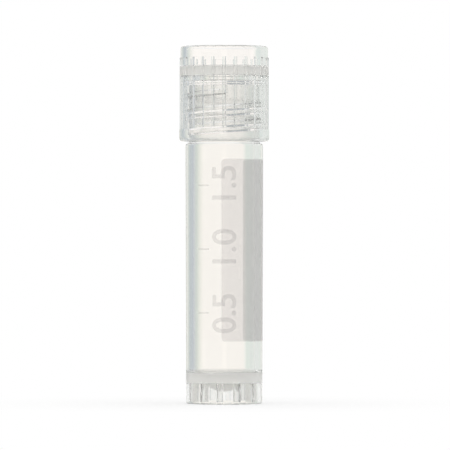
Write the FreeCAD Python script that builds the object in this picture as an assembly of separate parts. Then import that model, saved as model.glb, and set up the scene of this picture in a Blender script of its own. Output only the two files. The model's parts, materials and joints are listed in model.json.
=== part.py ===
import FreeCAD, Part
import math
import os

# A self-standing 2 mL cryogenic vial in three pieces: the vial, its screw cap and a sealing washer.
# Millimetres. +Z is up along the vial's axis, -Y is the front, and the origin is the centre of the
# standing ring at the bottom of the foot. The cap is modelled screwed fully home.

# Vial: driving sizes
tube_r = 5.39             # outside of the tube at the shoulder
rim_z = 44.65             # height of the sealing rim
neck_h = 8.6              # from the shoulder up to the rim
tube_draft = 0.09         # how much narrower the tube is at the foot
straight_z = 5.5          # top of the plain cylinder above the foot, where the draft begins
shoulder_step = 0.49      # how far the tube steps in to the root of the neck's thread
neck_wall = 0.65          # between the root of the thread and the bore

# Vial: floor and star foot
skirt_wall = 0.6          # thickness of the foot's skirt
floor_under_z = 2.9       # flat underside of the floor, inside the skirt
floor_wall = 1.5          # floor thickness beside the bore's wall
bowl_sag = 1.1            # depth of the bowl that closes the bore
boss_r = 2.7              # domed boss under the middle of the floor
boss_sag = 1.25
foot_round = 0.25         # of the foot's lower outer edge
rim_round = 0.2           # of the sealing rim's outer edge
star_ribs = 12
star_rib_width = 0.82
star_rib_length = 1.0     # how far a rib stands in from the skirt
star_rib_lift = 0.35      # gap between the ribs' lower ends and the surface that the vial stands on
star_turn = 7.5           # degrees from the front to the nearest rib

# Thread: right-hand, single start, on the neck and inside the cap
thread_lead = 2.25
thread_height = 0.5       # of the neck's ridge
thread_crest_width = 0.44
thread_flank = 24.0       # degrees between a flank and the radial direction
thread_run_out = 20.0     # degrees over which each end of a ridge slopes down into its wall
thread_shoulder_gap = 1.85  # plain neck below the ridge
thread_rim_gap = 0.93     # plain neck above the ridge
thread_start = -150.0     # degrees about +Z from +X to the lower end of both ridges
thread_root = 0.1         # how deep a ridge is sunk into the wall that carries it

# Cap
skirt_gap = 0.35          # between the cap's lower edge and the tube's shoulder
wall_gap = 0.22           # between the neck's thread crest and the cap's inner wall
root_gap = 0.15           # between the cap's thread crest and the neck
flank_gap = 0.12          # between the loaded flanks of the two ridges
cap_thread_top_gap = 1.75  # plain wall between the cap's ridge and its bead
cap_wall = 0.4            # between the inner wall and the grip's grooves
mouth_flare = 0.08        # how much wider the inner wall is at the skirt's lower edge
mouth_h = 0.7             # height of that flare
cap_floor = 1.0
recess_depth = 3.05       # for a colour-code disc
recess_round = 0.2        # of the recess's upper edge
collar_h = 1.6            # plain stretch above the grip
collar_step = 0.06        # from the grip's grooves out to the collar
collar_wall = 0.73        # around the recess
collar_round = 0.35
band_h = 1.75             # plain stretch below the grip
band_step = 0.23          # from the grip's grooves out to the band
band_round = 0.5          # of the skirt's lower outer edge
grip_ribs = 24
grip_rib_width = 0.46
grip_rib_height = 0.17
gate_r = 0.55             # scar of the moulding gate in the middle of the recess
gate_h = 0.2

# Sealing washer
washer_thickness = 0.8
washer_bore_r = 3.4
washer_gap = 0.05         # above and below the washer
washer_side_gap = 0.1     # between the washer's edge and the cap's inner wall
bead_catch = 0.18         # how far the cap's retaining bead reaches under the washer
bead_h = 0.5

# Edges, bowls and joins
sharp = 0.12
soft = 0.3
one_flat = 0.4            # a rounding up to this size is drawn as one flat, a larger one as two
bowl_steps = 4            # conical steps that a shallow bowl is drawn with
root = 0.3                # how deep ribs and the gate scar are sunk into the wall behind them

# The wedge that slopes a ridge's end down: how far it reaches past the crest and past the end
wedge_reach = 1.2
wedge_past = 5.0          # degrees
wedge_share = 0.9         # of the thread's lead, in height

# Radii and heights that follow
foot_r = tube_r - tube_draft
skirt_r = foot_r - skirt_wall
neck_r = tube_r - shoulder_step
bore_r = neck_r - neck_wall
bowl_z = floor_under_z + floor_wall
shoulder_z = rim_z - neck_h
thread_crest_r = neck_r + thread_height
cap_thread_crest_r = neck_r + root_gap
cap_bore_r = thread_crest_r + wall_gap
groove_r = cap_bore_r + cap_wall
collar_r = groove_r + collar_step
recess_r = collar_r - collar_wall
band_r = groove_r + band_step
mouth_r = cap_bore_r + mouth_flare
band_edge = min(band_round, band_r - mouth_r - sharp / 2)
washer_r = cap_bore_r - washer_side_gap
bead_r = washer_r - bead_catch
cap_low_z = shoulder_z + skirt_gap
washer_low_z = rim_z + washer_gap
cap_under_z = washer_low_z + washer_thickness + washer_gap
bead_top_z = washer_low_z - washer_gap
recess_z = cap_under_z + cap_floor
cap_top_z = recess_z + recess_depth
grip_low_z = cap_low_z + band_h
grip_top_z = cap_top_z - collar_h
bead_low_z = bead_top_z - bead_h

up = FreeCAD.Vector(0, 0, 1)
centre = FreeCAD.Vector(0, 0, 0)


def polar(radius, degrees, z=0.0):
    angle = math.radians(degrees)
    return FreeCAD.Vector(radius * math.cos(angle), radius * math.sin(angle), z)


def rounded_outline(corners):
    """Closed polygon in the XZ plane through corners (radius, z, rounding)."""
    points = [FreeCAD.Vector(r, 0, z) for r, z, rounding in corners]
    outline = []
    for i, (r, z, rounding) in enumerate(corners):
        here = points[i]
        if rounding == 0:
            outline.append(here)
            continue
        back = (points[i - 1] - here).normalize()
        onward = (points[(i + 1) % len(points)] - here).normalize()
        half = back.getAngle(onward) / 2
        reach = rounding / math.tan(half)
        outline.append(here + back * reach)
        if rounding > one_flat:
            inward = (back + onward).normalize()
            outline.append(here + inward * (rounding / math.sin(half) - rounding))
        outline.append(here + onward * reach)
    return Part.makePolygon(outline + outline[:1])


def turned(corners):
    """Solid of revolution about the vial's axis."""
    return Part.Face(rounded_outline(corners)).revolve(centre, up, 360)


def prism(points, height):
    """Upright prism on a flat polygon."""
    return Part.Face(Part.makePolygon(points + points[:1])).extrude(up * height)


def bowl(edge_r, edge_z, sag):
    """Corners of a shallow round bowl, from its edge down to the vial's axis."""
    sphere_r = (edge_r ** 2 + sag ** 2) / (2 * sag)
    middle_z = edge_z - sag + sphere_r
    corners = []
    for i in range(bowl_steps + 1):
        angle = math.asin(edge_r / sphere_r) * (1 - i / bowl_steps)
        corners.append((sphere_r * math.sin(angle), middle_z - sphere_r * math.cos(angle), 0))
    return corners


def around(shape, count, first_degrees):
    """Copies of shape, evenly spaced about the axis."""
    copies = []
    for i in range(count):
        copy = shape.copy()
        copy.rotate(centre, up, first_degrees + 360 * i / count)
        copies.append(copy)
    return copies


def ridge_half_width(distance_from_crest):
    """Half the axial width of a thread ridge at a radial distance from its crest."""
    return thread_crest_width / 2 + distance_from_crest * math.tan(math.radians(thread_flank))


def run_out(base_r, crest_r, z, degrees, direction):
    """Wedge that slopes a ridge's end from full height down into the wall."""
    foot = polar(base_r, degrees)
    crest = polar(crest_r, degrees - direction * thread_run_out)
    past = degrees + direction * wedge_past
    away_r = crest_r + 2 * (crest_r - base_r)
    outline = [
        foot,
        foot + (crest - foot) * wedge_reach,
        polar(away_r, degrees - direction * thread_run_out),
        polar(away_r, past),
        polar(base_r, past),
    ]
    wedge_h = wedge_share * thread_lead
    wedge = prism(outline, wedge_h)
    wedge.translate(up * (z - wedge_h / 2))
    return wedge


def thread_ridge(wall_r, crest_r, start_z, turns):
    """Helical ridge that stands on the wall at wall_r and ends at crest_r, inside it or outside it."""
    base_r = wall_r + math.copysign(thread_root, wall_r - crest_r)
    crest_half = ridge_half_width(0)
    base_half = ridge_half_width(abs(crest_r - base_r))
    section = Part.makePolygon(
        [
            FreeCAD.Vector(base_r, 0, -base_half),
            FreeCAD.Vector(crest_r, 0, -crest_half),
            FreeCAD.Vector(crest_r, 0, crest_half),
            FreeCAD.Vector(base_r, 0, base_half),
            FreeCAD.Vector(base_r, 0, -base_half),
        ]
    )
    rise = thread_lead * turns
    path = Part.Wire(Part.makeHelix(thread_lead, rise, base_r))
    ridge = path.makePipeShell([section], True, True)
    ridge.rotate(centre, up, thread_start)
    ridge.translate(up * start_z)
    ridge = ridge.cut(run_out(base_r, crest_r, start_z, thread_start, -1))
    return ridge.cut(run_out(base_r, crest_r, start_z + rise, thread_start + 360 * turns, 1))


def star_rib():
    """One inner rib of the foot, standing in from the skirt towards the axis, along +X."""
    nose_r = skirt_r - star_rib_length + star_rib_width / 2
    height = floor_under_z + root - star_rib_lift
    low = FreeCAD.Vector(nose_r, -star_rib_width / 2, star_rib_lift)
    web = Part.makeBox(skirt_r + root - nose_r, star_rib_width, height, low)
    nose_foot = FreeCAD.Vector(nose_r, 0, star_rib_lift)
    return web.fuse(Part.makeCylinder(star_rib_width / 2, height, nose_foot))


def neck_ridge():
    """Height and number of turns of the neck's ridge, between its two plain stretches."""
    half = ridge_half_width(thread_height)
    start_z = shoulder_z + thread_shoulder_gap + half
    return start_z, (rim_z - thread_rim_gap - half - start_z) / thread_lead


def cap_ridge():
    """The same for the cap's ridge, which lies just under the neck's and is held down by it."""
    pitch_r = (thread_crest_r + cap_thread_crest_r) / 2
    start_z = neck_ridge()[0] - 2 * ridge_half_width(thread_crest_r - pitch_r) - flank_gap
    half = ridge_half_width(cap_bore_r - cap_thread_crest_r)
    return start_z, (bead_low_z - cap_thread_top_gap - half - start_z) / thread_lead


def make_vial():
    body = turned(
        bowl(boss_r, floor_under_z, boss_sag)[::-1]
        + [
            (skirt_r, floor_under_z, 0),
            (skirt_r, 0, sharp),
            (foot_r, 0, foot_round),
            (foot_r, straight_z, 0),
            (tube_r, shoulder_z, soft),
            (neck_r, shoulder_z, soft),
            (neck_r, rim_z, rim_round),
            (bore_r, rim_z, sharp),
        ]
        + bowl(bore_r, bowl_z, bowl_sag)
    )
    body = body.fuse(around(star_rib(), star_ribs, -90 - star_turn))
    return body.fuse(thread_ridge(neck_r, thread_crest_r, *neck_ridge()))


def grip_rib():
    """One upright half-round rib of the cap's grip, at the front."""
    rounding_r = (grip_rib_width ** 2 / 4 + grip_rib_height ** 2) / (2 * grip_rib_height)
    middle = FreeCAD.Vector(0, -(groove_r + grip_rib_height - rounding_r), grip_low_z - root)
    return Part.makeCylinder(rounding_r, grip_top_z - middle.z, middle)


def make_cap():
    body = turned(
        [
            (0, recess_z, 0),
            (recess_r, recess_z, soft),
            (recess_r, cap_top_z, recess_round),
            (collar_r, cap_top_z, collar_round),
            (collar_r, grip_top_z, 0),
            (groove_r, grip_top_z, 0),
            (groove_r, grip_low_z, 0),
            (band_r, grip_low_z, 0),
            (band_r, cap_low_z, band_edge),
            (mouth_r, cap_low_z, 0),
            (cap_bore_r, cap_low_z + mouth_h, 0),
            (cap_bore_r, bead_low_z, 0),
            (bead_r, bead_top_z - bead_h / 2, 0),
            (cap_bore_r, bead_top_z, 0),
            (cap_bore_r, cap_under_z, 0),
            (0, cap_under_z, 0),
        ]
    )
    gate = Part.makeCylinder(gate_r, gate_h + root, FreeCAD.Vector(0, 0, recess_z - root))
    body = body.fuse([gate] + around(grip_rib(), grip_ribs, 0))
    return body.fuse(thread_ridge(cap_bore_r, cap_thread_crest_r, *cap_ridge()))


def make_seal_washer():
    washer_top_z = washer_low_z + washer_thickness
    return turned(
        [
            (washer_bore_r, washer_low_z, 0),
            (washer_r, washer_low_z, 0),
            (washer_r, washer_top_z, 0),
            (washer_bore_r, washer_top_z, 0),
        ]
    )


os.makedirs("parts", exist_ok=True)
pieces = {
    "vial": make_vial(),
    "cap": make_cap(),
    "seal_washer": make_seal_washer(),
}
for name, piece in pieces.items():
    piece.exportStep(f"parts/{name}.step")
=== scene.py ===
import json
import math

import bmesh
import bpy
from mathutils import Matrix, Vector

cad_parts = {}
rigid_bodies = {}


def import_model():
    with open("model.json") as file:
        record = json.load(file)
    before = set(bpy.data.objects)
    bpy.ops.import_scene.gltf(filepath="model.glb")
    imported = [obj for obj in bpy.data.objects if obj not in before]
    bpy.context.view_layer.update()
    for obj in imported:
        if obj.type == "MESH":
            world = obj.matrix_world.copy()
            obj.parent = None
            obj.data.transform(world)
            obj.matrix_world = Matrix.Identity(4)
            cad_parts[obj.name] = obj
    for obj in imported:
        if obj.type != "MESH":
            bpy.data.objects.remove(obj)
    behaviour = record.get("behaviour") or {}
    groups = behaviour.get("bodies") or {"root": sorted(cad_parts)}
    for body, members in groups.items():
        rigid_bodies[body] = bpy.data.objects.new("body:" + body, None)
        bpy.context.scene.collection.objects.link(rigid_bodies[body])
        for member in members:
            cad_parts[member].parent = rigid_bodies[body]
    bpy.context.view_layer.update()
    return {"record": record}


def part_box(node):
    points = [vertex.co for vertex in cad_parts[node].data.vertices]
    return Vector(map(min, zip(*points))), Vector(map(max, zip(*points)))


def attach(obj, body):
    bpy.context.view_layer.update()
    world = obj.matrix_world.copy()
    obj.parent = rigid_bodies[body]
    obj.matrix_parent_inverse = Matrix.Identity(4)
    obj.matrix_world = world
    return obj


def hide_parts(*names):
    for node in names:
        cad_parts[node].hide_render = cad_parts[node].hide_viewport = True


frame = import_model()

# A cryovial with its screw cap on: clear cap, natural polypropylene tube, silicone sealing washer,
# a pale write-on panel and a plain volume scale. Sizes below are millimetres.
MM = 0.001
vial_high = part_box("vial")[1]
cap_low, cap_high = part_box("cap")
washer_low, washer_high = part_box("seal_washer")
mounts = {m["name"]: m for m in frame["record"]["mounts"]}

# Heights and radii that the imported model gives
rim_z = vial_high.z / MM
cap_low_z, cap_top_z = cap_low.z / MM, cap_high.z / MM
washer_low_z, washer_top_z = washer_low.z / MM, washer_high.z / MM
washer_r = washer_high.x / MM
band_r = cap_high.x / MM
foot_r = mounts["foot_spigot"]["dims"]["r_mm"]
recess_r = mounts["label_disc_recess"]["dims"]["r_mm"]
thread_lead = 2 * math.pi / frame["record"]["behaviour"]["couplings"][0]["ratio"] / MM

# Vial: star_turn is in degrees, from the front to the nearest rib of the foot
tube_r = 5.39
straight_z = 5.5
neck_h = 8.6
neck_r = 4.9
bore_r = 4.25
skirt_wall = 0.6
floor_under_z = 2.9
floor_wall = 1.5
bowl_sag = 1.1
boss_r = 2.7
boss_sag = 1.25
rim_round = 0.2
foot_round = 0.25
star_ribs = 12
star_rib_width = 0.82
star_rib_length = 1.0
star_rib_lift = 0.35
star_rib_root = 0.3
star_rib_top_root = 0.375
star_turn = 7.5

# Thread: right-hand, on the neck and inside the cap. The run-out and the start are in degrees.
thread_height = 0.5
thread_crest_width = 0.44
thread_flank = math.radians(24)
thread_run_out = 20
thread_start = -150
thread_root = 0.1
thread_shoulder_gap = 1.85
thread_rim_gap = 0.93
root_gap = 0.15
flank_gap = 0.12

# Cap
groove_r = 6.02
collar_r = 6.08
recess_depth = 3.05
recess_round = 0.2
cap_floor = 1.0
collar_h = 1.6
collar_round = 0.35
collar_foot_round = 0.02
band_h = 1.75
band_round = 0.45
mouth_flare = 0.08
mouth_h = 0.7
mouth_round = 0.04
cap_thread_top_gap = 1.75
bead_catch = 0.18
bead_h = 0.5
grip_ribs = 24
grip_rib_width = 0.46
grip_rib_height = 0.17
grip_rib_root = 0.25
gate_r = 0.55
gate_h = 0.2
gate_root = 0.65

# Washer
washer_bore_r = 3.4
washer_gap = 0.05
washer_side_gap = 0.1

# Roundings of the edges that have none of their own
sharp, soft = 0.12, 0.3

# Heights and radii that follow
skirt_r = foot_r - skirt_wall
shoulder_z = rim_z - neck_h
bowl_z = floor_under_z + floor_wall
neck_thread_low = shoulder_z + thread_shoulder_gap
neck_thread_top = rim_z - thread_rim_gap
cap_bore_r = washer_r + washer_side_gap
bead_r = washer_r - bead_catch
recess_z = cap_top_z - recess_depth
cap_under_z = recess_z - cap_floor
collar_low_z = cap_top_z - collar_h
band_top_z = cap_low_z + band_h

# Print on the tube: angles are degrees round from the front, and volumes are millilitres. A flat
# print is cut into strips of strip_degrees to bend it round the tube.
panel_from, panel_to = -4, 144
panel_low_z, panel_high_z = 8.7, 33.9
panel_round = 0.5
numbered = (0.5, 1.0, 1.5)
numeral_h = 3.4
numeral_weight = 0.012
tick_left, tick_h = -3.9, 0.2
tick_length = 1.7
ink_lift, ink_h = 0.006, 0.014
strip_degrees = 3.75

# How finely the meshes are made: steps of a full turn and of a rounding, the angle up to which
# shading is smooth, and how close to its ends an edge longer than LONG_EDGE is held
TURN_STEPS = 192
ROUND_STEPS = 4
SMOOTH_ANGLE = math.radians(32)
LONG_EDGE = 0.5
HOLD = 0.03


def srgb(hex_colour):
    """Linear colour of an sRGB hex value."""
    channels = [int(hex_colour[i:i + 2], 16) / 255 for i in (1, 3, 5)]
    return [c / 12.92 if c <= 0.04045 else ((c + 0.055) / 1.055) ** 2.4 for c in channels] + [1]


# Shapes ------------------------------------------------------------------------------------------


def dish(rim_r, rim_z_, sag, steps=12):
    """Points (r, z, rounding) of a shallow dish, from its rim down to the axis."""
    sphere_r = (rim_r ** 2 + sag ** 2) / (2 * sag)
    half = math.asin(rim_r / sphere_r)
    middle_z = rim_z_ - sag + sphere_r
    angles = [half * (1 - i / steps) for i in range(steps + 1)]
    return [(sphere_r * math.sin(a), middle_z - sphere_r * math.cos(a), 0) for a in angles]


def hold_ends(bm):
    """Splits each long edge near both ends, which keeps a rounding's shading off the straight wall."""
    for edge in bm.edges[:]:
        start, end = edge.verts
        if edge.calc_length() < LONG_EDGE * MM:
            continue
        middle = bmesh.utils.edge_split(edge, start, HOLD * MM / edge.calc_length())[1]
        rest = next(e for e in middle.link_edges if end in e.verts)
        bmesh.utils.edge_split(rest, end, HOLD * MM / rest.calc_length())


def turned(corners):
    """Solid turned about the axis from corners (r, z, rounding), closed on the axis or as a ring."""
    bm = bmesh.new()
    verts = [bm.verts.new((r * MM, 0, z * MM)) for r, z, rounding in corners]
    ends_on_axis = corners[0][0] == 0 and abs(corners[-1][0]) < 1e-9
    for a, b in zip(verts, verts[1:] + ([] if ends_on_axis else verts[:1])):
        bm.edges.new((a, b))
    for vert, (r, z, rounding) in zip(verts, corners):
        if rounding:
            bmesh.ops.bevel(
                bm, geom=[vert], offset=rounding * MM, offset_type="OFFSET",
                segments=ROUND_STEPS, profile=0.5, affect="VERTICES", material=-1,
            )
    hold_ends(bm)
    bmesh.ops.spin(
        bm, geom=bm.verts[:] + bm.edges[:], cent=(0, 0, 0), axis=(0, 0, 1),
        angle=2 * math.pi, steps=TURN_STEPS, use_merge=True, use_duplicate=False,
    )
    bmesh.ops.remove_doubles(bm, verts=bm.verts[:], dist=1e-8)
    bmesh.ops.recalc_face_normals(bm, faces=bm.faces[:])
    return bm


def ridge(wall_r, crest_r, start_z, turns):
    """Thread ridge: a trapezoid carried up a helix, sinking into the wall at both ends."""
    base_r = wall_r + math.copysign(thread_root, wall_r - crest_r)
    crest_half = thread_crest_width / 2
    base_half = crest_half + abs(crest_r - base_r) * math.tan(thread_flank)
    flank = [(base_r, base_half), (crest_r, crest_half)]
    section = [(r, -z) for r, z in flank] + flank[::-1]
    bm = bmesh.new()
    face = bm.faces.new([bm.verts.new((r * MM, 0, (start_z + z) * MM)) for r, z in section])
    steps = round(TURN_STEPS * turns)
    bmesh.ops.rotate(
        bm, verts=bm.verts[:], cent=(0, 0, 0), matrix=Matrix.Rotation(math.radians(thread_start), 3, "Z")
    )
    bmesh.ops.spin(
        bm, geom=[face], cent=(0, 0, 0), axis=(0, 0, 1), dvec=(0, 0, thread_lead * turns / steps * MM),
        angle=2 * math.pi * turns, steps=steps, use_duplicate=False,
    )
    run_out_steps = TURN_STEPS * thread_run_out / 360
    bm.verts.ensure_lookup_table()
    for i, vert in enumerate(bm.verts):
        step = i // len(section)
        share = min(1, step / run_out_steps, (steps - step) / run_out_steps)
        r = vert.co.xy.length / MM
        wanted = base_r + (r - base_r) * share
        vert.co.xy *= wanted / r
    bmesh.ops.recalc_face_normals(bm, faces=bm.faces[:])
    return bm


def upright_bar(radius, x, stretch, low_z, high_z, turn):
    """Upright round bar at distance x from the axis, with its outer half drawn out by stretch."""
    bm = bmesh.new()
    bmesh.ops.create_circle(bm, cap_ends=True, segments=32, radius=radius * MM)
    for vert in bm.verts:
        vert.co.x += (x + (stretch if vert.co.x > 0 else 0)) * MM
        vert.co.z = low_z * MM
    top = bmesh.ops.extrude_face_region(bm, geom=bm.faces[:])
    top_verts = [g for g in top["geom"] if isinstance(g, bmesh.types.BMVert)]
    bmesh.ops.translate(bm, verts=top_verts, vec=(0, 0, (high_z - low_z) * MM))
    bmesh.ops.rotate(
        bm, verts=bm.verts[:], cent=(0, 0, 0), matrix=Matrix.Rotation(math.radians(turn), 3, "Z")
    )
    bmesh.ops.recalc_face_normals(bm, faces=bm.faces[:])
    return bm


def as_object(name, bm):
    """Object in the scene, made from a bmesh that is then freed."""
    mesh = bpy.data.meshes.new(name)
    bm.to_mesh(mesh)
    bm.free()
    piece = bpy.data.objects.new(name, mesh)
    bpy.context.scene.collection.objects.link(piece)
    return piece


def fused(name, body, additions):
    """One closed piece from a body and the shapes that stand on it."""
    piece = as_object(name, body)
    extras = bpy.data.collections.new(name + "_extras")
    for i, bm in enumerate(additions):
        extra = as_object(f"{name}_extra_{i}", bm)
        bpy.context.scene.collection.objects.unlink(extra)
        extras.objects.link(extra)
    union = piece.modifiers.new("union", "BOOLEAN")
    union.operation = "UNION"
    union.operand_type = "COLLECTION"
    union.collection = extras
    union.solver = "EXACT"
    view_layer = bpy.context.view_layer
    view_layer.update()
    evaluated = piece.evaluated_get(bpy.context.evaluated_depsgraph_get())
    mesh = bpy.data.meshes.new_from_object(evaluated)
    piece.modifiers.clear()
    piece.data = mesh
    for extra in extras.objects[:]:
        bpy.data.objects.remove(extra)
    bpy.data.collections.remove(extras)
    return piece


def finish_piece(piece, body, material, cad_node=None):
    """Gives a piece its material and smooth shading, hangs it on the body that it rides on, and hides the
    CAD node that it takes the place of.
    """
    piece.data.materials.clear()
    piece.data.materials.append(material)
    piece.data.shade_smooth()
    piece.data.set_sharp_from_angle(angle=SMOOTH_ANGLE)
    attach(piece, body)
    if cad_node:
        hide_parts(cad_node)


def tube_radius(z):
    """Outside radius in mm of the drafted tube at height z."""
    share = (z - straight_z) / (shoulder_z - straight_z)
    return foot_r + (tube_r - foot_r) * min(1, max(0, share))


def level_z(volume):
    """Height in mm that a volume in millilitres reaches in the bore."""
    bowl_volume = math.pi * bowl_sag / 6 * (3 * bore_r ** 2 + bowl_sag ** 2)
    return bowl_z + (1000 * volume - bowl_volume) / (math.pi * bore_r ** 2)


def sheet(left, right, low_z, high_z, rounding=0):
    """Flat rectangle of print: x is the distance round the tube from the front, y the height."""
    bm = bmesh.new()
    bmesh.ops.create_grid(bm, x_segments=1, y_segments=1, size=0.5 * MM)
    bmesh.ops.scale(bm, verts=bm.verts[:], vec=(right - left, high_z - low_z, 1))
    bmesh.ops.translate(bm, verts=bm.verts[:], vec=Vector((left + right, low_z + high_z, 0)) / 2 * MM)
    if rounding:
        bmesh.ops.bevel(
            bm, geom=bm.verts[:], offset=rounding * MM, offset_type="OFFSET",
            segments=6, profile=0.5, affect="VERTICES", material=-1,
        )
    return bm


def numeral(text, z):
    """Flat figures that read upwards, centred on the front at height z."""
    curve = bpy.data.curves.new("figures", "FONT")
    curve.body = text
    curve.align_x = "CENTER"
    curve.offset = numeral_weight
    figures = bpy.data.objects.new("figures", curve)
    bpy.context.scene.collection.objects.link(figures)
    bpy.context.view_layer.update()
    flat = figures.evaluated_get(bpy.context.evaluated_depsgraph_get()).to_mesh()
    bm = bmesh.new()
    bm.from_mesh(flat)
    bpy.data.objects.remove(figures)
    bmesh.ops.remove_doubles(bm, verts=bm.verts[:], dist=1e-5)
    low, high = (limit(v.co.y for v in bm.verts) for limit in (min, max))
    bmesh.ops.translate(bm, verts=bm.verts[:], vec=(0, -(low + high) / 2, 0))
    bmesh.ops.scale(bm, verts=bm.verts[:], vec=Vector((1, 1, 1)) * numeral_h / (high - low) * MM)
    bmesh.ops.rotate(bm, verts=bm.verts[:], cent=(0, 0, 0), matrix=Matrix.Rotation(math.pi / 2, 3, "Z"))
    bmesh.ops.translate(bm, verts=bm.verts[:], vec=(0, z * MM, 0))
    return bm


def printed(name, sheets, lift, material):
    """Closed layer of ink: flat shapes cut into strips, thickened and wrapped onto the tube."""
    bm = bmesh.new()
    for flat in sheets:
        flat_mesh = bpy.data.meshes.new("flat")
        flat.to_mesh(flat_mesh)
        flat.free()
        bm.from_mesh(flat_mesh)
        bpy.data.meshes.remove(flat_mesh)
    bmesh.ops.dissolve_limit(bm, angle_limit=0.001, verts=bm.verts[:], edges=bm.edges[:])
    strip = math.radians(strip_degrees) * tube_r
    off_corners = 0.01 * strip
    left, right = (limit(v.co.x for v in bm.verts) / MM for limit in (min, max))
    for i in range(math.ceil(left / strip), math.floor(right / strip) + 1):
        bmesh.ops.bisect_plane(
            bm, geom=bm.verts[:] + bm.edges[:] + bm.faces[:], dist=1e-9,
            plane_co=((i * strip + off_corners) * MM, 0, 0), plane_no=(1, 0, 0),
        )
    top = bmesh.ops.extrude_face_region(bm, geom=bm.faces[:])
    top_verts = [g for g in top["geom"] if isinstance(g, bmesh.types.BMVert)]
    bmesh.ops.translate(bm, verts=top_verts, vec=(0, 0, ink_h * MM))
    for vert in bm.verts:
        x, z, out = vert.co / MM
        angle = x / tube_r
        r = tube_radius(z) + lift + out
        vert.co = Vector((r * math.sin(angle), -r * math.cos(angle), z)) * MM
    bmesh.ops.recalc_face_normals(bm, faces=bm.faces[:])
    finish_piece(as_object(name, bm), "vial", material)


# Materials ---------------------------------------------------------------------------------------


def node(tree, kind, inputs=None, **settings):
    """Adds a node, sets its properties, and fills or links its inputs."""
    made = tree.nodes.new(kind)
    for name, value in settings.items():
        setattr(made, name, value)
    for name, value in (inputs or {}).items():
        if isinstance(value, bpy.types.NodeSocket):
            tree.links.new(value, made.inputs[name])
        else:
            made.inputs[name].default_value = value
    return made


def set_stops(made, stops):
    """Sets the (position, sRGB hex) stops of a colour ramp."""
    elements = made.color_ramp.elements
    while len(elements) < len(stops):
        elements.new(0.5)
    for element, (position, colour) in zip(elements, stops):
        element.position = position
        element.color = srgb(colour)


def new_material(name):
    """A material with an empty node tree, and the tree."""
    material = bpy.data.materials.new(name)
    material.use_nodes = True
    material.node_tree.nodes.clear()
    return material, material.node_tree


def within(tree, value, low, high, soft=0.1):
    """1 where a value in metres lies between low and high in mm, fading to 0 over twice soft."""
    from_low = {"Value": value, 1: (low - soft) * MM, 2: (low + soft) * MM}
    from_high = {"Value": value, 1: (high + soft) * MM, 2: (high - soft) * MM}
    rise, fall = (node(tree, "ShaderNodeMapRange", side) for side in (from_low, from_high))
    both = {0: rise.outputs["Result"], 1: fall.outputs["Result"]}
    return node(tree, "ShaderNodeMath", both, operation="MULTIPLY").outputs[0]


def polypropylene(name, tint, roughness, clarity, absorption, milky):
    """Injection-moulded polypropylene: clear and glossy in a thin wall, milky where it is thick.

    The melt's flow leaves long shallow waves. Inside a thick wall crystals scatter the light, which is
    drawn on its surface as more roughness and a share of matt white. milky lists such places as
    (low z, high z, radius that they reach out to, roughness, clarity).
    """
    flow_wave = 6.25
    flow_depth = 0.05
    haze_white = "#FDFCF8"
    material, tree = new_material(name)
    place = node(tree, "ShaderNodeTexCoord").outputs["Object"]
    flow = node(
        tree, "ShaderNodeTexNoise", {"Vector": place, "Scale": 1 / (flow_wave * MM), "Detail": 2.0}
    )
    bump = node(
        tree, "ShaderNodeBump",
        {"Height": flow.outputs["Fac"], "Strength": 0.04, "Distance": flow_depth * MM},
    )
    part = node(tree, "ShaderNodeSeparateXYZ", {0: place})
    flat = node(tree, "ShaderNodeCombineXYZ", {"X": part.outputs["X"], "Y": part.outputs["Y"]})
    radius = node(tree, "ShaderNodeVectorMath", {0: flat.outputs[0]}, operation="LENGTH")
    rough, clear = roughness, clarity
    for low_z, high_z, out_to, milky_roughness, milky_clarity in milky:
        height = within(tree, part.outputs["Z"], low_z, high_z)
        middle = within(tree, radius.outputs["Value"], -1, out_to)
        full = node(tree, "ShaderNodeMath", {0: height, 1: middle}, operation="MULTIPLY").outputs[0]
        more = node(tree, "ShaderNodeMapRange", {"Value": full, 3: roughness, 4: milky_roughness})
        less = node(tree, "ShaderNodeMapRange", {"Value": full, 3: clarity, 4: milky_clarity})
        rougher = {0: rough, 1: more.outputs["Result"]}
        cloudier = {0: clear, 1: less.outputs["Result"]}
        rough = node(tree, "ShaderNodeMath", rougher, operation="MAXIMUM").outputs[0]
        clear = node(tree, "ShaderNodeMath", cloudier, operation="MINIMUM").outputs[0]
    cloud = node(tree, "ShaderNodeMapRange", {"Value": clear, 1: 1.0, 2: 0.5, 3: 0.0, 4: 1.0})
    colour = node(tree, "ShaderNodeValToRGB", {"Fac": cloud.outputs["Result"]})
    set_stops(colour, [(0, tint), (1, haze_white)])
    surface = node(
        tree, "ShaderNodeBsdfPrincipled",
        {
            "Base Color": colour.outputs["Color"],
            "Roughness": rough,
            "IOR": 1.49,
            "Transmission Weight": clear,
            "Normal": bump.outputs["Normal"],
        },
    )
    depth = node(tree, "ShaderNodeVolumeAbsorption", {"Color": srgb("#B4B6B4"), "Density": absorption})
    out = node(tree, "ShaderNodeOutputMaterial")
    tree.links.new(surface.outputs[0], out.inputs["Surface"])
    tree.links.new(depth.outputs[0], out.inputs["Volume"])
    return material


def silicone():
    """Clear silicone, moulded: soft, with an uneven skin that breaks up its sheen."""
    skin_patch = 1.1
    material, tree = new_material("clear_silicone_moulded")
    place = node(tree, "ShaderNodeTexCoord").outputs["Object"]
    skin = node(
        tree, "ShaderNodeTexNoise", {"Vector": place, "Scale": 1 / (skin_patch * MM), "Detail": 2.0}
    )
    rough = node(tree, "ShaderNodeMapRange", {"Value": skin.outputs["Fac"], 3: 0.04, 4: 0.08})
    surface = node(
        tree, "ShaderNodeBsdfPrincipled",
        {
            "Base Color": srgb("#FFFFFE"),
            "Roughness": rough.outputs["Result"],
            "IOR": 1.41,
            "Transmission Weight": 1.0,
        },
    )
    out = node(tree, "ShaderNodeOutputMaterial")
    tree.links.new(surface.outputs[0], out.inputs["Surface"])
    return material


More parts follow.
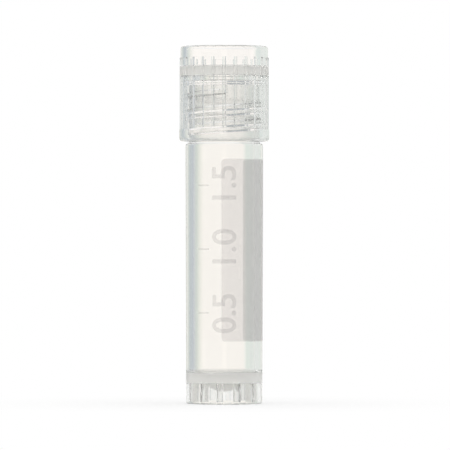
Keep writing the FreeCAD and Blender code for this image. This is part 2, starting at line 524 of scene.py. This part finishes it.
def screen_ink(name, colour, cover):
    """Matt screen-printed ink, so thin that most of the light comes through it.

    Its mottling is drawn at 0.4 mm. A print screen's mesh is about 0.1 mm, which would not show.
    """
    mottle, mottle_share = 0.4, 0.03
    material, tree = new_material(name)
    place = node(tree, "ShaderNodeTexCoord").outputs["Object"]
    grain = node(
        tree, "ShaderNodeTexNoise", {"Vector": place, "Scale": 1 / (mottle * MM), "Detail": 2.0}
    )
    density = node(
        tree, "ShaderNodeMapRange",
        {"Value": grain.outputs["Fac"], 3: cover - mottle_share, 4: cover + mottle_share},
    )
    surface = node(
        tree, "ShaderNodeBsdfPrincipled",
        {"Base Color": srgb(colour), "Roughness": 0.7, "Alpha": density.outputs["Result"]},
    )
    out = node(tree, "ShaderNodeOutputMaterial")
    tree.links.new(surface.outputs[0], out.inputs["Surface"])
    return material


# Pieces ------------------------------------------------------------------------------------------


def thread_foot_width(height):
    """Width of a ridge at a depth of height below its crest."""
    return thread_crest_width + 2 * height * math.tan(thread_flank)


def neck_thread_z():
    """Height of the middle of the neck's ridge at its lower end."""
    return neck_thread_low + thread_foot_width(thread_height) / 2


def make_vial(material):
    """Tube with its threaded neck, bowl-shaped floor, domed boss and star foot."""
    outline = [(0, bowl_z - bowl_sag, 0)]
    outline += dish(bore_r, bowl_z, bowl_sag)[-2::-1]
    outline += [
        (bore_r, rim_z, sharp),
        (neck_r, rim_z, rim_round),
        (neck_r, shoulder_z, soft),
        (tube_r, shoulder_z, soft),
        (foot_r, straight_z, 0),
        (foot_r, 0, foot_round),
        (skirt_r, 0, sharp),
        (skirt_r, floor_under_z, 0),
    ]
    outline += dish(boss_r, floor_under_z, boss_sag)
    outline[-1] = (0, floor_under_z - boss_sag, 0)
    body = turned(outline)
    nose_r = skirt_r - star_rib_length + star_rib_width / 2
    stretch = skirt_r + star_rib_root - nose_r - star_rib_width / 2
    bars = [
        upright_bar(
            star_rib_width / 2, nose_r, stretch, star_rib_lift, floor_under_z + star_rib_top_root,
            -90 - star_turn + 360 * i / star_ribs,
        )
        for i in range(star_ribs)
    ]
    turns = (neck_thread_top - neck_thread_low - thread_foot_width(thread_height)) / thread_lead
    thread = ridge(neck_r, neck_r + thread_height, neck_thread_z(), turns)
    piece = fused("vial_moulding", body, bars + [thread])
    finish_piece(piece, "vial", material, "vial")


def make_cap(material):
    """Cap with its recess, grip ribs, flared mouth, inner thread and the bead that holds the washer."""
    bead_top = washer_low_z - washer_gap
    bead_low = bead_top - bead_h
    outline = [
        (0, recess_z, 0),
        (recess_r, recess_z, soft),
        (recess_r, cap_top_z, recess_round),
        (collar_r, cap_top_z, collar_round),
        (collar_r, collar_low_z, collar_foot_round),
        (groove_r, collar_low_z, 0),
        (groove_r, band_top_z, 0),
        (band_r, band_top_z, sharp),
        (band_r, cap_low_z, band_round),
        (cap_bore_r + mouth_flare, cap_low_z, mouth_round),
        (cap_bore_r, cap_low_z + mouth_h, 0),
        (cap_bore_r, bead_low, 0),
        (bead_r, bead_top - bead_h / 2, sharp),
        (cap_bore_r, bead_top, 0),
        (cap_bore_r, cap_under_z, sharp),
        (0, cap_under_z, 0),
    ]
    body = turned(outline)
    rib_r = (grip_rib_width ** 2 / 4 + grip_rib_height ** 2) / (2 * grip_rib_height)
    rib_x = groove_r + grip_rib_height - rib_r
    rib_low_z = band_top_z - grip_rib_root
    ribs = [
        upright_bar(rib_r, rib_x, 0, rib_low_z, collar_low_z, -90 + 360 * i / grip_ribs)
        for i in range(grip_ribs)
    ]
    crest_r = neck_r + root_gap
    pitch_r = (neck_r + thread_height + crest_r) / 2
    start_z = neck_thread_z() - thread_foot_width(neck_r + thread_height - pitch_r) - flank_gap
    half = thread_foot_width(cap_bore_r - crest_r) / 2
    turns = (bead_low - cap_thread_top_gap - half - start_z) / thread_lead
    thread = ridge(cap_bore_r, crest_r, start_z, turns)
    gate = upright_bar(gate_r, 0, 0, recess_z - gate_root, recess_z + gate_h, 0)
    piece = fused("cap_moulding", body, ribs + [thread, gate])
    finish_piece(piece, "cap", material, "cap")


def make_washer(material):
    """Flat sealing ring with rounded edges."""
    outline = [
        (washer_bore_r, washer_low_z, sharp),
        (washer_r, washer_low_z, sharp),
        (washer_r, washer_top_z, sharp),
        (washer_bore_r, washer_top_z, sharp),
    ]
    piece = as_object("seal_washer_moulding", turned(outline))
    finish_piece(piece, "seal_washer", material, "seal_washer")


def make_print():
    """Write-on panel on the right of the front, and a volume scale with figures up the front."""
    panel = sheet(
        math.radians(panel_from) * tube_r, math.radians(panel_to) * tube_r,
        panel_low_z, panel_high_z, panel_round,
    )
    # The write-on panel's ink is white; its pale grey colour is painted shade, standing in for the shade
    # that the backlit print falls in.
    printed("write_on_panel", [panel], ink_lift, screen_ink("white_ink_painted_shade_grey", "#B6AFB1", 0.16))
    marks = []
    for volume in numbered:
        z = level_z(volume)
        marks.append(numeral(f"{volume:.1f}", z))
        marks.append(sheet(tick_left, tick_left + tick_length, z - tick_h / 2, z + tick_h / 2))
    printed("volume_scale", marks, 2 * ink_lift + ink_h, screen_ink("grey_screen_ink", "#A5A0A2", 0.13))


# Where each moulding is milky. A radius or height well past the piece takes in all of it.
past = 9
vial_milky = [
    # the floor, and the foot of the wall just above it
    (floor_under_z, bowl_z, past, 0.4, 0.6),
    (bowl_z, bowl_z + 0.3, past, 0.25, 0.85),
    # the boss, the foot's skirt, and the star ribs inside the skirt
    (floor_under_z - boss_sag, floor_under_z, boss_r + 0.3, 0.35, 0.7),
    (-past, floor_under_z, past, 0.1, 0.995),
    (-past, floor_under_z, skirt_r - 0.15, 0.25, 0.88),
    # the neck, and the wall of its bore
    (shoulder_z, rim_z + past, past, 0.1, 1.0),
    (shoulder_z, rim_z + past, bore_r + 0.2, 0.2, 1.0),
]
make_vial(polypropylene("natural_polypropylene_moulded", "#FFFFFE", 0.06, 0.995, 16.0, vial_milky))
cap_milky = [
    # the cap's floor, and the skirt under it
    (cap_under_z - 0.1, recess_z + 0.3, past, 0.4, 0.6),
    (cap_low_z - past, cap_under_z, past, 0.1, 1.0),
]
make_cap(polypropylene("clear_polypropylene_moulded", "#FFFFFF", 0.05, 1.0, 4.0, cap_milky))
make_washer(silicone())
make_print()


# Studio ------------------------------------------------------------------------------------------

# The studio as clear plastic sees it, by bearing in degrees: 0 is straight behind the object and
# minus is to its left. It is white behind, round the left and front left, and to the right. A
# blue-grey wall stands at the back left, a pale one at the back right and a grey one at the front
# right. The ceiling's stops run from the horizon to straight overhead.
wall_colours = [
    (-180, "#FFFBF6"),
    (-81, "#FFFBF6"),
    (-78, "#DDE1E0"),
    (-65, "#D5DADA"),
    (-55, "#C4C9CF"),
    (-30, "#BDC5C7"),
    (-22, "#C8D0CC"),
    (-16, "#DCE0D7"),
    (-12, "#F0EFE7"),
    (-8.5, "#FFFBF6"),
    (8, "#FFFBF6"),
    (9.5, "#DFE8E2"),
    (28, "#E4E8E4"),
    (55, "#E8EBE8"),
    (78, "#DDE1E0"),
    (81, "#FFFBF6"),
    (99, "#FFFBF6"),
    (106, "#B4B8BA"),
    (171, "#B4B8BA"),
    (175, "#FFFBF6"),
]
ceiling_colours = [(0, "#FFFFFF"), (0.5, "#FFFFFF"), (1, "#F6F8F8")]

# Table top: its radius, where its shadow fades out, and how plainly white it is near the object
floor_r = 120
shadow_from, shadow_to = 6, 45
white_near, white_far = 0.6, 1.0

# Camera: frame_width is how wide a view it takes in at the object
camera_distance = 698.0
camera_height = 21.7
frame_width = 62.5
sensor_width = 36
aim = Vector((0.11, 0, 24.8))


def make_camera():
    """Camera in front of the object, level with the middle of the tube."""
    camera_data = bpy.data.cameras.new("camera")
    camera = bpy.data.objects.new("camera", camera_data)
    bpy.context.scene.collection.objects.link(camera)
    bpy.context.scene.camera = camera
    camera_data.sensor_width = sensor_width
    camera_data.lens = sensor_width * camera_distance / frame_width
    camera_data.clip_start = 0.01
    camera.location = Vector((aim.x, -camera_distance, camera_height)) * MM
    camera.rotation_euler = (aim * MM - camera.location).to_track_quat("-Z", "Y").to_euler()


def make_floor():
    """Small round table top: it takes the shadow near the object and is plain white at its edge."""
    bm = bmesh.new()
    bmesh.ops.create_circle(bm, cap_ends=True, segments=96, radius=floor_r * MM)
    floor = as_object("floor", bm)
    material, tree = new_material("white_paper")
    place = node(tree, "ShaderNodeTexCoord").outputs["Object"]
    distance = node(tree, "ShaderNodeVectorMath", {0: place}, operation="LENGTH")
    white = node(
        tree, "ShaderNodeMapRange",
        {
            "Value": distance.outputs["Value"],
            1: shadow_from * MM,
            2: shadow_to * MM,
            3: white_near,
            4: white_far,
        },
        interpolation_type="SMOOTHSTEP",
    )
    paper = node(tree, "ShaderNodeBsdfDiffuse", {"Color": srgb("#FAFAFA")})
    glow = node(tree, "ShaderNodeEmission", {"Strength": 1.0})
    mix = node(
        tree, "ShaderNodeMixShader", {0: white.outputs["Result"], 1: paper.outputs[0], 2: glow.outputs[0]}
    )
    out = node(tree, "ShaderNodeOutputMaterial")
    tree.links.new(mix.outputs[0], out.inputs["Surface"])
    floor.data.materials.append(material)


def make_world():
    """Soft white studio: plain white to the eye, with the walls above for clear plastic to show."""
    world = bpy.data.worlds.new("studio")
    bpy.context.scene.world = world
    world.use_nodes = True
    tree = world.node_tree
    tree.nodes.clear()
    direction = node(tree, "ShaderNodeTexCoord").outputs["Generated"]
    part = node(tree, "ShaderNodeSeparateXYZ", {0: direction})
    across = {0: part.outputs["X"], 1: part.outputs["Y"]}
    bearing = node(tree, "ShaderNodeMath", across, operation="ARCTAN2")
    share_of_turn = {0: bearing.outputs[0], 1: 0.5 / math.pi, 2: 0.5}
    place = node(tree, "ShaderNodeMath", share_of_turn, operation="MULTIPLY_ADD")
    walls = node(tree, "ShaderNodeValToRGB", {"Fac": place.outputs[0]})
    set_stops(walls, [(0.5 + degrees / 360, colour) for degrees, colour in wall_colours])
    height = node(tree, "ShaderNodeMath", {0: part.outputs["Z"]}, operation="ABSOLUTE")
    shade = node(tree, "ShaderNodeValToRGB", {"Fac": height.outputs[0]})
    set_stops(shade, ceiling_colours)
    seen = node(
        tree, "ShaderNodeMix", {0: 1.0, 6: walls.outputs[0], 7: shade.outputs[0]},
        data_type="RGBA", blend_type="MULTIPLY",
    )
    through = node(tree, "ShaderNodeBackground", {"Color": seen.outputs[2], "Strength": 1.0})
    white = node(tree, "ShaderNodeBackground", {"Color": (1, 1, 1, 1), "Strength": 1.0})
    path = node(tree, "ShaderNodeLightPath")
    bent = node(
        tree, "ShaderNodeMath",
        {0: path.outputs["Is Glossy Ray"], 1: path.outputs["Is Transmission Ray"]}, operation="MAXIMUM",
    )
    mix = node(
        tree, "ShaderNodeMixShader", {0: bent.outputs[0], 1: white.outputs[0], 2: through.outputs[0]}
    )
    out = node(tree, "ShaderNodeOutputWorld")
    tree.links.new(mix.outputs[0], out.inputs["Surface"])


make_camera()
make_floor()
make_world()

# Light goes to and fro inside the clear walls, so it is followed for many bounces
bounces = bpy.context.scene.cycles
bounces.max_bounces = bounces.transmission_bounces = bounces.glossy_bounces = 32
bounces.diffuse_bounces = 8
bpy.context.scene.view_settings.view_transform = "Standard"
